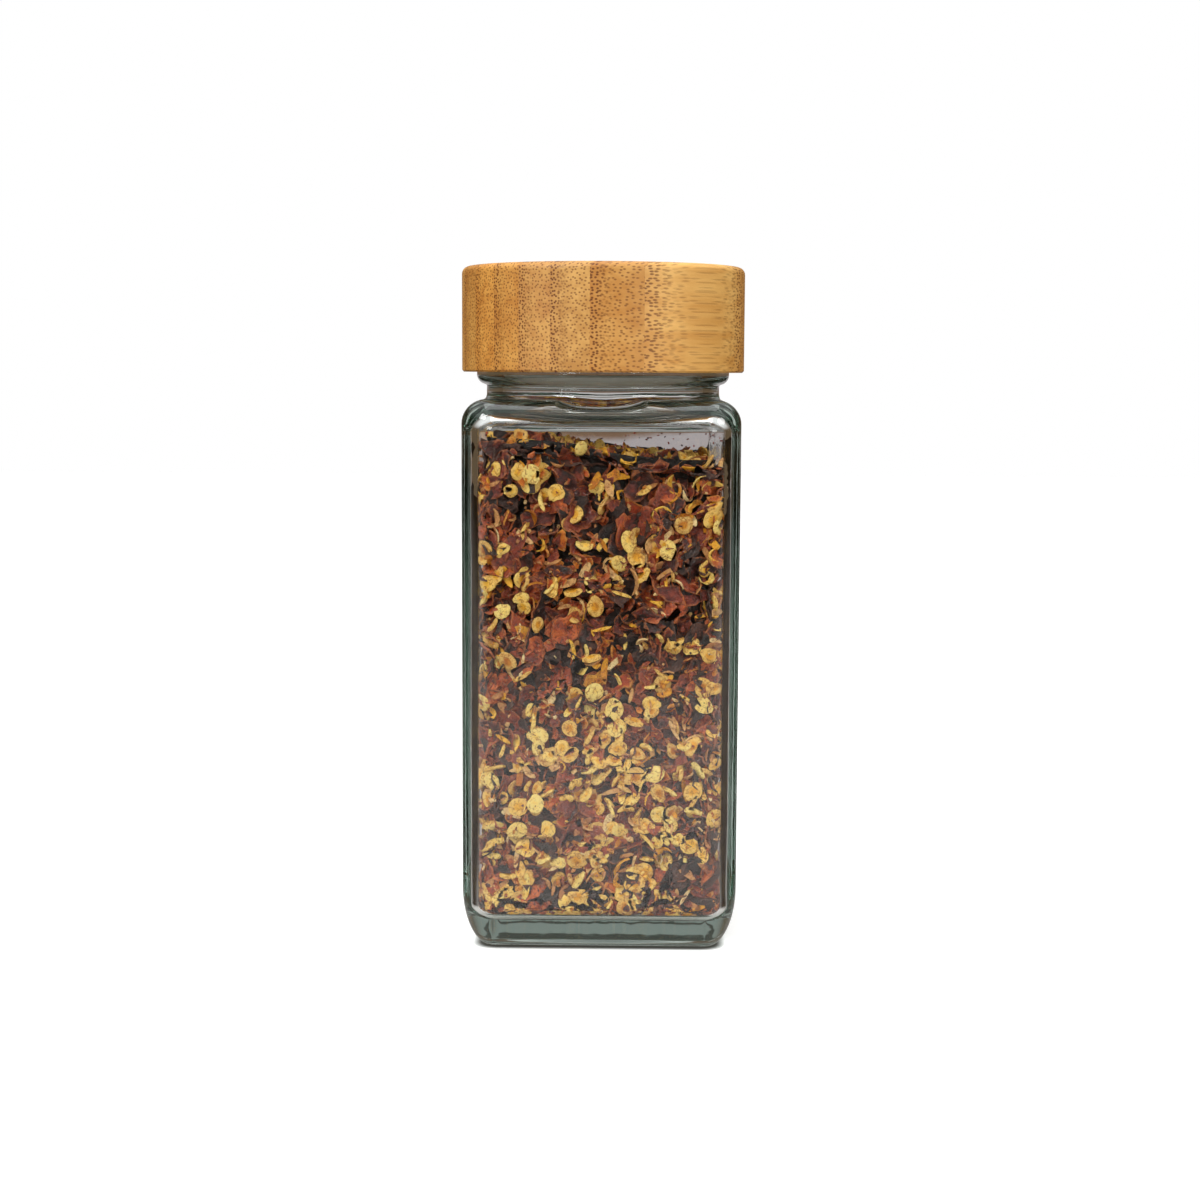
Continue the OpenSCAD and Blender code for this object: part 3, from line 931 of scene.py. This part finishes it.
# %% [markdown]
# ## The heaps
#
# The imported solid itself, drawn in a little, is the core, which wears painted shade, and the heaps are
# laid over it. More of the seeds and the pith have settled in the lower half. Each call gives the counts
# on the walls, the top and the floor, the shape, its depths, its usual tilt, and the share that stands on
# edge.

# %% Core
CORE_DEPTH = 1.2

for vert in packed.verts:
    vert.co = (vert.co - vert.normal * CORE_DEPTH) * MM
# The core wears the painted shade finish.
core = finished("pepper_core", packed, pod_painted_shade, "jar", smooth=False)
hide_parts("spice_fill")

# %% Heaps
# The deepest flakes wear the painted shade finish.
heap("pepper_flakes_deep", on_all_sides(1000, 130, 120, big_flake, (0.5, 1.3)), pod_painted_shade)
heap("pepper_flakes_big", on_all_sides(420, 50, 40, big_flake, (-0.2, 0.5), 14), pod_skin)
heap("pepper_flakes_small", on_all_sides(1500, 180, 100, small_flake, (-0.3, 0.5), 24, 0.15), pod_skin)
heap("pepper_chips", on_all_sides(1500, 160, 80, chip, (-0.3, 0.4), 28, 0.25), pod_skin)
heap("pepper_flesh", on_all_sides(220, 24, 14, small_flake, (-0.2, 0.4), 22, 0.1), pod_flesh)
heap("pepper_flesh_chips", on_all_sides(460, 50, 24, chip, (-0.3, 0.3), 24, 0.2), pod_flesh)
heap("pepper_seeds", on_all_sides(640, 80, 55, seed, (-1.2, 0.3), 20, 0.35), seed_coat)
heap("pepper_seeds_settled", laid(270, seed, (-1.0, 0.2), 20, 0.35, at_low_wall), seed_coat)
heap("pepper_pith_settled", laid(340, sliver, (-0.7, 0.3), 26, 0.3, at_low_wall), pod_pith)
heap("pepper_slivers", on_all_sides(520, 60, 40, sliver, (-0.9, 0.3), 22, 0.35), seed_coat)
heap("pepper_pith", on_all_sides(600, 70, 40, sliver, (-0.7, 0.3), 26, 0.35), pod_pith)
heap("pepper_crumbs", on_all_sides(1200, 150, 70, crumb, (-0.3, 0.4)), pod_skin)
heap("pepper_pith_crumbs", on_all_sides(800, 90, 50, crumb, (-0.3, 0.3)), pod_pith)
heap("pepper_dust_on_glass", clinging(90), pod_skin)

# %% [markdown]
# ## Laminated bamboo
#
# A bamboo culm's wall is only some millimetres thick, so a lid is turned from a block of glued strips.
# Across a strip one sees the vascular bundles as dark dots, dense towards the culm's skin and sparse
# towards its inside, and along the fibres the same bundles run as streaks. So each strip's pattern is
# drawn in its own directions, along the fibres, across the strip and upright, and it is hardly stretched
# across the fibres and drawn out long along them. Every strip came from another culm, with its own tone.

# %% Where the strips lie
BAMBOO_TONES = (
    ("#e2b164", "#c78e44"), ("#c7934d", "#b17734"), ("#d0a05a", "#b27f40"), ("#cd9b55", "#b57e41"),
    ("#d1994c", "#b77a34"), ("#da9e4c", "#bd7d34"), ("#ca944a", "#b27734"), ("#d39d53", "#b97f3a"),
    ("#d59e50", "#b97d37"),
)
STRIPS = range(1, len(BAMBOO_TONES) + 1)
STRIP_W, FIRST_STRIP_W = 5.45, 2.85
LID_R = max(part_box(f"lid_strip_{number}")[1].x for number in STRIPS) / MM
FIRST_GLUE_LINE = LID_R - FIRST_STRIP_W
FIBRE_TURN = math.radians(-45)
DRAWN_OUT = 0.05
CULM_SHIFT = (0, 0.013, 0.029)


def strip_place(tree, number):
    """Place on a strip with X along the fibres, and the same shifted and drawn out for its pattern."""
    turned = add(tree, "Mapping", {"Vector": object_place(tree), "Rotation": (0, 0, FIBRE_TURN)})
    drawn = add(tree, "Mapping", {"Vector": turned.outputs[0], "Scale": (DRAWN_OUT, 1, 1),
                                  "Location": [number * shift for shift in CULM_SHIFT]})
    return turned.outputs[0], drawn.outputs[0]


def from_skin(tree, y, number):
    """Share of the way across a strip, from 0 at its skin side to 1 at its inner side."""
    skin = -(FIRST_GLUE_LINE - (number - 1) * STRIP_W) * MM
    return remap(tree, y, (skin, skin - STRIP_W * MM))


print("lid", round(2 * LID_R, 2), "across, first glue line at", round(FIRST_GLUE_LINE, 2))

# %% [markdown]
# The bundles are dots in a Voronoi pattern, looked at down the fibres, in two sizes that blend across
# the strip. Those that the lid's round side cuts across are darker than those that run along its face.

# %% Bundles
DENSE_DOTS = {"spacing": 0.5, "solid_to": 0.22, "gone_at": 0.4}
SPARSE_DOTS = {"spacing": 0.58, "solid_to": 0.14, "gone_at": 0.32}
INNER_RANGE = (0.15, 0.5)
INNER_FADE = (1, 0.75)
FACE_RANGE, FACE_DEPTH = (2 * MM, 14 * MM), (0.36, 1)


def dots(tree, end_grain, spacing, solid_to, gone_at):
    """1 inside the dots and 0 between them."""
    cells = add(tree, "TexVoronoi", {"Vector": end_grain, "Scale": 1 / (spacing * MM),
                                     "Randomness": 0.8}, voronoi_dimensions="2D")
    return remap(tree, cells.outputs["Distance"], (solid_to, gone_at), (1, 0))


def bundles(tree, drawn, inner):
    """The dots of a strip, dense at its skin side and sparse at its inner side."""
    split = add(tree, "SeparateXYZ", {0: drawn})
    end_grain = add(tree, "CombineXYZ", {"X": split.outputs["Y"], "Y": split.outputs["Z"]}).outputs[0]
    dense, sparse = (dots(tree, end_grain, **kind) for kind in (DENSE_DOTS, SPARSE_DOTS))
    return add(tree, "Mix", {0: inner, MIX_A: dense, MIX_B: sparse}).outputs[0]


def bundle_depth(tree, x, inner):
    """How dark the dots are, from how squarely the round side cuts them."""
    cut = remap(tree, maths(tree, "ABSOLUTE", x), FACE_RANGE, FACE_DEPTH)
    return maths(tree, "MULTIPLY", cut, remap(tree, inner, (0, 1), INNER_FADE))


# %% Bamboo
STREAK_RATE, CLOUD_RATE = 700.0, 130.0
GROUND_RANGE = (0.75, 1.25)
SKIN_RANGE, SKIN_BROWN = (0, 0.35), (0.35, 0)


def laminated_bamboo(number, light, dark):
    """One strip of bamboo, turned and oiled."""
    material, tree, output = new_material(f"bamboo_strip_{number}_turned_and_oiled")
    turned, drawn = strip_place(tree, number)
    place = add(tree, "SeparateXYZ", {0: turned})
    across = from_skin(tree, place.outputs["Y"], number)
    inner = remap(tree, across, INNER_RANGE)
    bundle = bundles(tree, drawn, inner)
    streak = add(tree, "TexNoise", {"Vector": drawn, "Scale": STREAK_RATE, "Detail": 4.0}).outputs[0]
    cloud = add(tree, "TexNoise", {"Vector": drawn, "Scale": CLOUD_RATE, "Detail": 2.0}).outputs[0]
    shade = remap(tree, maths(tree, "ADD", streak, cloud), GROUND_RANGE)
    ground = ramp(tree, shade, [(0.0, dark), (1.0, light)])
    browner = blend(tree, remap(tree, across, SKIN_RANGE, SKIN_BROWN), ground, linear("#a5692f"))
    darkness = maths(tree, "MULTIPLY", bundle, bundle_depth(tree, place.outputs["X"], inner))
    dotted = blend(tree, darkness, browner, linear("#683a14"))
    grain = maths(tree, "SUBTRACT", streak, bundle)
    bump = add(tree, "Bump", {"Height": grain, "Strength": 0.25, "Distance": 0.08 * MM})
    wood = add(tree, "BsdfPrincipled", {"Base Color": dotted, "Roughness": 0.5,
                                        "Specular IOR Level": 0.35, "Normal": bump.outputs[0]})
    tree.links.new(wood.outputs[0], output.inputs["Surface"])
    return material


def dress(node, material):
    """Gives a CAD node a material in place of its own."""
    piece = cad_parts[node]
    piece.data.materials.clear()
    piece.data.materials.append(material)
    print(node, "is", material.name)
    return piece


for number, (light, dark) in zip(STRIPS, BAMBOO_TONES):
    dress(f"lid_strip_{number}", laminated_bamboo(number, light, dark))

# %% [markdown]
# ## Moulded plastic and foam
#
# Under the lid are three small pieces: the liner cap with the thread, the foam seal and the sifter.
# Moulded polypropylene and polyethylene have a satin face with a very fine texture from the mould,
# and cut foam shows its closed cells. One recipe does for all three.

# %% Plastic and foam
def moulded(name, tints, roughness, grain_mm, grain_depth):
    """A satin face with a fine grain. Tints are the darker and the lighter one."""
    material, tree, output = new_material(name)
    dark, light = tints
    grain = add(tree, "TexNoise", {"Vector": object_place(tree), "Scale": 1 / (grain_mm * MM),
                                   "Detail": 3.0}).outputs[0]
    tint = ramp(tree, grain, [(0.2, dark), (0.8, light)])
    bump = add(tree, "Bump", {"Height": grain, "Strength": 0.3, "Distance": grain_depth * MM})
    face = add(tree, "BsdfPrincipled", {"Base Color": tint, "Roughness": roughness,
                                        "Normal": bump.outputs[0]})
    tree.links.new(face.outputs[0], output.inputs["Surface"])
    return material


sifter_plastic = moulded("polyethylene_moulded_natural", ("#ebeae4", "#f4f3ee"), 0.42, 0.5, 0.02)
liner_plastic = moulded("polypropylene_moulded_satin", ("#e2ded2", "#ece8dd"), 0.38, 0.5, 0.02)
foam = moulded("polyethylene_foam_cut", ("#e3ddd0", "#f3efe6"), 0.85, 0.25, 0.08)
dress("sifter_insert", sifter_plastic)
dress("liner_cap", liner_plastic)
dress("seal_disc", foam)

# %% [markdown]
# ## The table
#
# To the camera the table is white, with a painted contact shadow, from an ambient occlusion node,
# where the jar all but touches it. Clear glass takes its looks from what it mirrors and bends, and on
# white alone its edges vanish. So every other ray sees a grey table that ends in front of the jar.
# Beside and behind the jar it is a pale lane, which spreads with the distance, between dark sides, and
# these draw the upright edges of the glass. Just behind the jar the lane carries a painted shadow.

# %% Table's two faces
CONTACT_REACH = 1.8 * MM
CONTACT_RANGE = (0.3, 0.8)


def white_table(tree):
    """A white face with a painted contact shadow: a soft dark line where the jar stands on it."""
    matt = add(tree, "BsdfDiffuse", {"Color": linear("#f2f2f2")})
    lift = add(tree, "Emission", {"Color": linear("#ffffff"), "Strength": 0.3})
    lit = add(tree, "AddShader", {0: matt.outputs[0], 1: lift.outputs[0]})
    # Painted contact shadow: ambient occlusion mixes in a dark diffuse where the jar nearly touches the
    # table.
    closeness = add(tree, "AmbientOcclusion", {"Distance": CONTACT_REACH}, samples=16)
    outside_painted_shadow = remap(tree, closeness.outputs["AO"], CONTACT_RANGE)
    under = add(tree, "BsdfDiffuse", {"Color": linear("#4c4a46")})
    return add(tree, "MixShader", {0: outside_painted_shadow, 1: under.outputs[0], 2: lit.outputs[0]}).outputs[0]


TABLE_REACH = 0.5
# The dip to #989696 just behind the jar's middle is a painted shadow of the jar on the lane.
LANE_AND_SHADOW_TONES = [(0.05, "#3e3a36"), (0.17, "#7c7874"), (0.32, "#bcb8b6"), (0.5, "#bcb8b6"),
              (0.53, "#989696"), (0.6, "#b8b4b4")]
LANE_HALF, DARK_FROM = 0.028, 0.05
LANE_SPREAD = 0.3
SIDES_FROM, SIDES_FULL = -0.04, 0.0


def grey_table(tree):
    """A pale lane along Y, with a painted shadow just behind the jar, and dark sides from the jar
    backwards.
    """
    place = add(tree, "SeparateXYZ", {0: object_place(tree)})
    y = place.outputs["Y"]
    lane = ramp(tree, remap(tree, y, (-TABLE_REACH, TABLE_REACH)), LANE_AND_SHADOW_TONES)
    off_lane = maths(tree, "SUBTRACT", maths(tree, "ABSOLUTE", place.outputs["X"]),
                     maths(tree, "MULTIPLY", y, LANE_SPREAD))
    beside = maths(tree, "SUBTRACT", rising(tree, off_lane, LANE_HALF, DARK_FROM),
                   rising(tree, y, SIDES_FULL, SIDES_FROM), clamp=True)
    return add(tree, "BsdfDiffuse", {"Color": blend(tree, beside, lane, linear("#20180f"))}).outputs[0]


# %% Table
HALF_TABLE = 1.5
TABLE_EDGE_Y = -0.47


def table_mesh():
    """A square that ends in front of the jar."""
    bm = bmesh.new()
    bmesh.ops.create_grid(bm, x_segments=1, y_segments=1, size=HALF_TABLE)
    front = [vert for vert in bm.verts if vert.co.y < 0]
    bmesh.ops.translate(bm, verts=front, vec=(0, HALF_TABLE + TABLE_EDGE_Y, 0))
    mesh = bpy.data.meshes.new("floor")
    bm.to_mesh(mesh)
    bm.free()
    return mesh


def table_finish():
    """White for the camera, grey for the glass."""
    material, tree, output = new_material("white_table")
    path = add(tree, "LightPath")
    seen = add(tree, "MixShader", {0: path.outputs["Is Camera Ray"], 1: grey_table(tree),
                                   2: white_table(tree)})
    tree.links.new(seen.outputs[0], output.inputs["Surface"])
    return material


floor = bpy.data.objects.new("floor", table_mesh())
bpy.context.scene.collection.objects.link(floor)
floor.data.materials.append(table_finish())
print("the table ends", -TABLE_EDGE_Y, "m in front of the jar")

# %% [markdown]
# ## The room
#
# The world is white for the camera and a room for the glass. Its ceiling is bright, its near and side
# walls are dark, and the far wall, which is what one sees through the neck, the shoulder and the base,
# is pale at the height of the table, brown over it, and grey higher up. The thick base shows a narrow
# band of that wall, and a dark bar there gives the dark bar in the base.

# %% Room
FAR_WALL_HEIGHTS = (-0.1, 0.4)
FAR_WALL = [(0.14, "#b4abac"), (0.18, "#846955"), (0.3, "#584a3e"), (0.55, "#a2a4a2"),
            (0.705, "#a2a4a2"), (0.715, "#484a44"), (0.733, "#484a44"), (0.743, "#a2a4a2")]
FAR_WALL_FROM, FAR_WALL_FULL = 0.85, 0.985
CEILING_FROM, CEILING_FULL = 0.3, 0.75
NEAR_FROM, SIDE_FULL = -0.6, 0.0


def room_colour(tree):
    """The room's colour in every direction, by how far up and how far back it points."""
    direction = add(tree, "SeparateXYZ", {0: add(tree, "TexCoord").outputs["Generated"]})
    y, z = direction.outputs["Y"], direction.outputs["Z"]
    nearer = blend(tree, rising(tree, y, NEAR_FROM, SIDE_FULL), linear("#281f17"), linear("#62523f"))
    far_wall = ramp(tree, remap(tree, z, FAR_WALL_HEIGHTS), FAR_WALL)
    walls = blend(tree, rising(tree, y, FAR_WALL_FROM, FAR_WALL_FULL), nearer, far_wall)
    return blend(tree, rising(tree, z, CEILING_FROM, CEILING_FULL), walls, linear("#ffffff"))


world = bpy.data.worlds.new("studio")
bpy.context.scene.world = world
world.use_nodes = True
world_tree = world.node_tree
world_tree.nodes.clear()
room = add(world_tree, "Background", {"Color": room_colour(world_tree), "Strength": 1.0})
white = add(world_tree, "Background", {"Color": linear("#ffffff"), "Strength": 1.0})
rays = add(world_tree, "LightPath")
backdrop = add(world_tree, "MixShader", {0: rays.outputs["Is Camera Ray"], 1: room.outputs[0],
                                         2: white.outputs[0]})
world_tree.links.new(backdrop.outputs[0], add(world_tree, "OutputWorld").inputs["Surface"])
print("the room's far wall has", len(FAR_WALL), "tones")

# %% [markdown]
# ## The lamps
#
# Three large softboxes give even light: one from the left, a weaker one from the right, one overhead.

# %% Lamps
JAR_MIDDLE = Vector((0, 0, 0.06))


def softbox(name, place, size, watts):
    """A square softbox that faces the jar's middle."""
    lamp = bpy.data.lights.new(name, "AREA")
    lamp.shape = "SQUARE"
    lamp.size = size
    lamp.energy = watts
    holder = bpy.data.objects.new(name, lamp)
    bpy.context.scene.collection.objects.link(holder)
    aim = JAR_MIDDLE - Vector(place)
    holder.matrix_world = Matrix.Translation(place) @ aim.to_track_quat("-Z", "Y").to_matrix().to_4x4()
    print(name, watts, "W")


softbox("key_left", (-0.5, -0.6, 0.6), size=0.35, watts=6)
softbox("fill_right", (0.6, -0.65, 0.4), size=0.4, watts=4)
softbox("overhead", (0, 0.05, 0.95), size=0.7, watts=4)
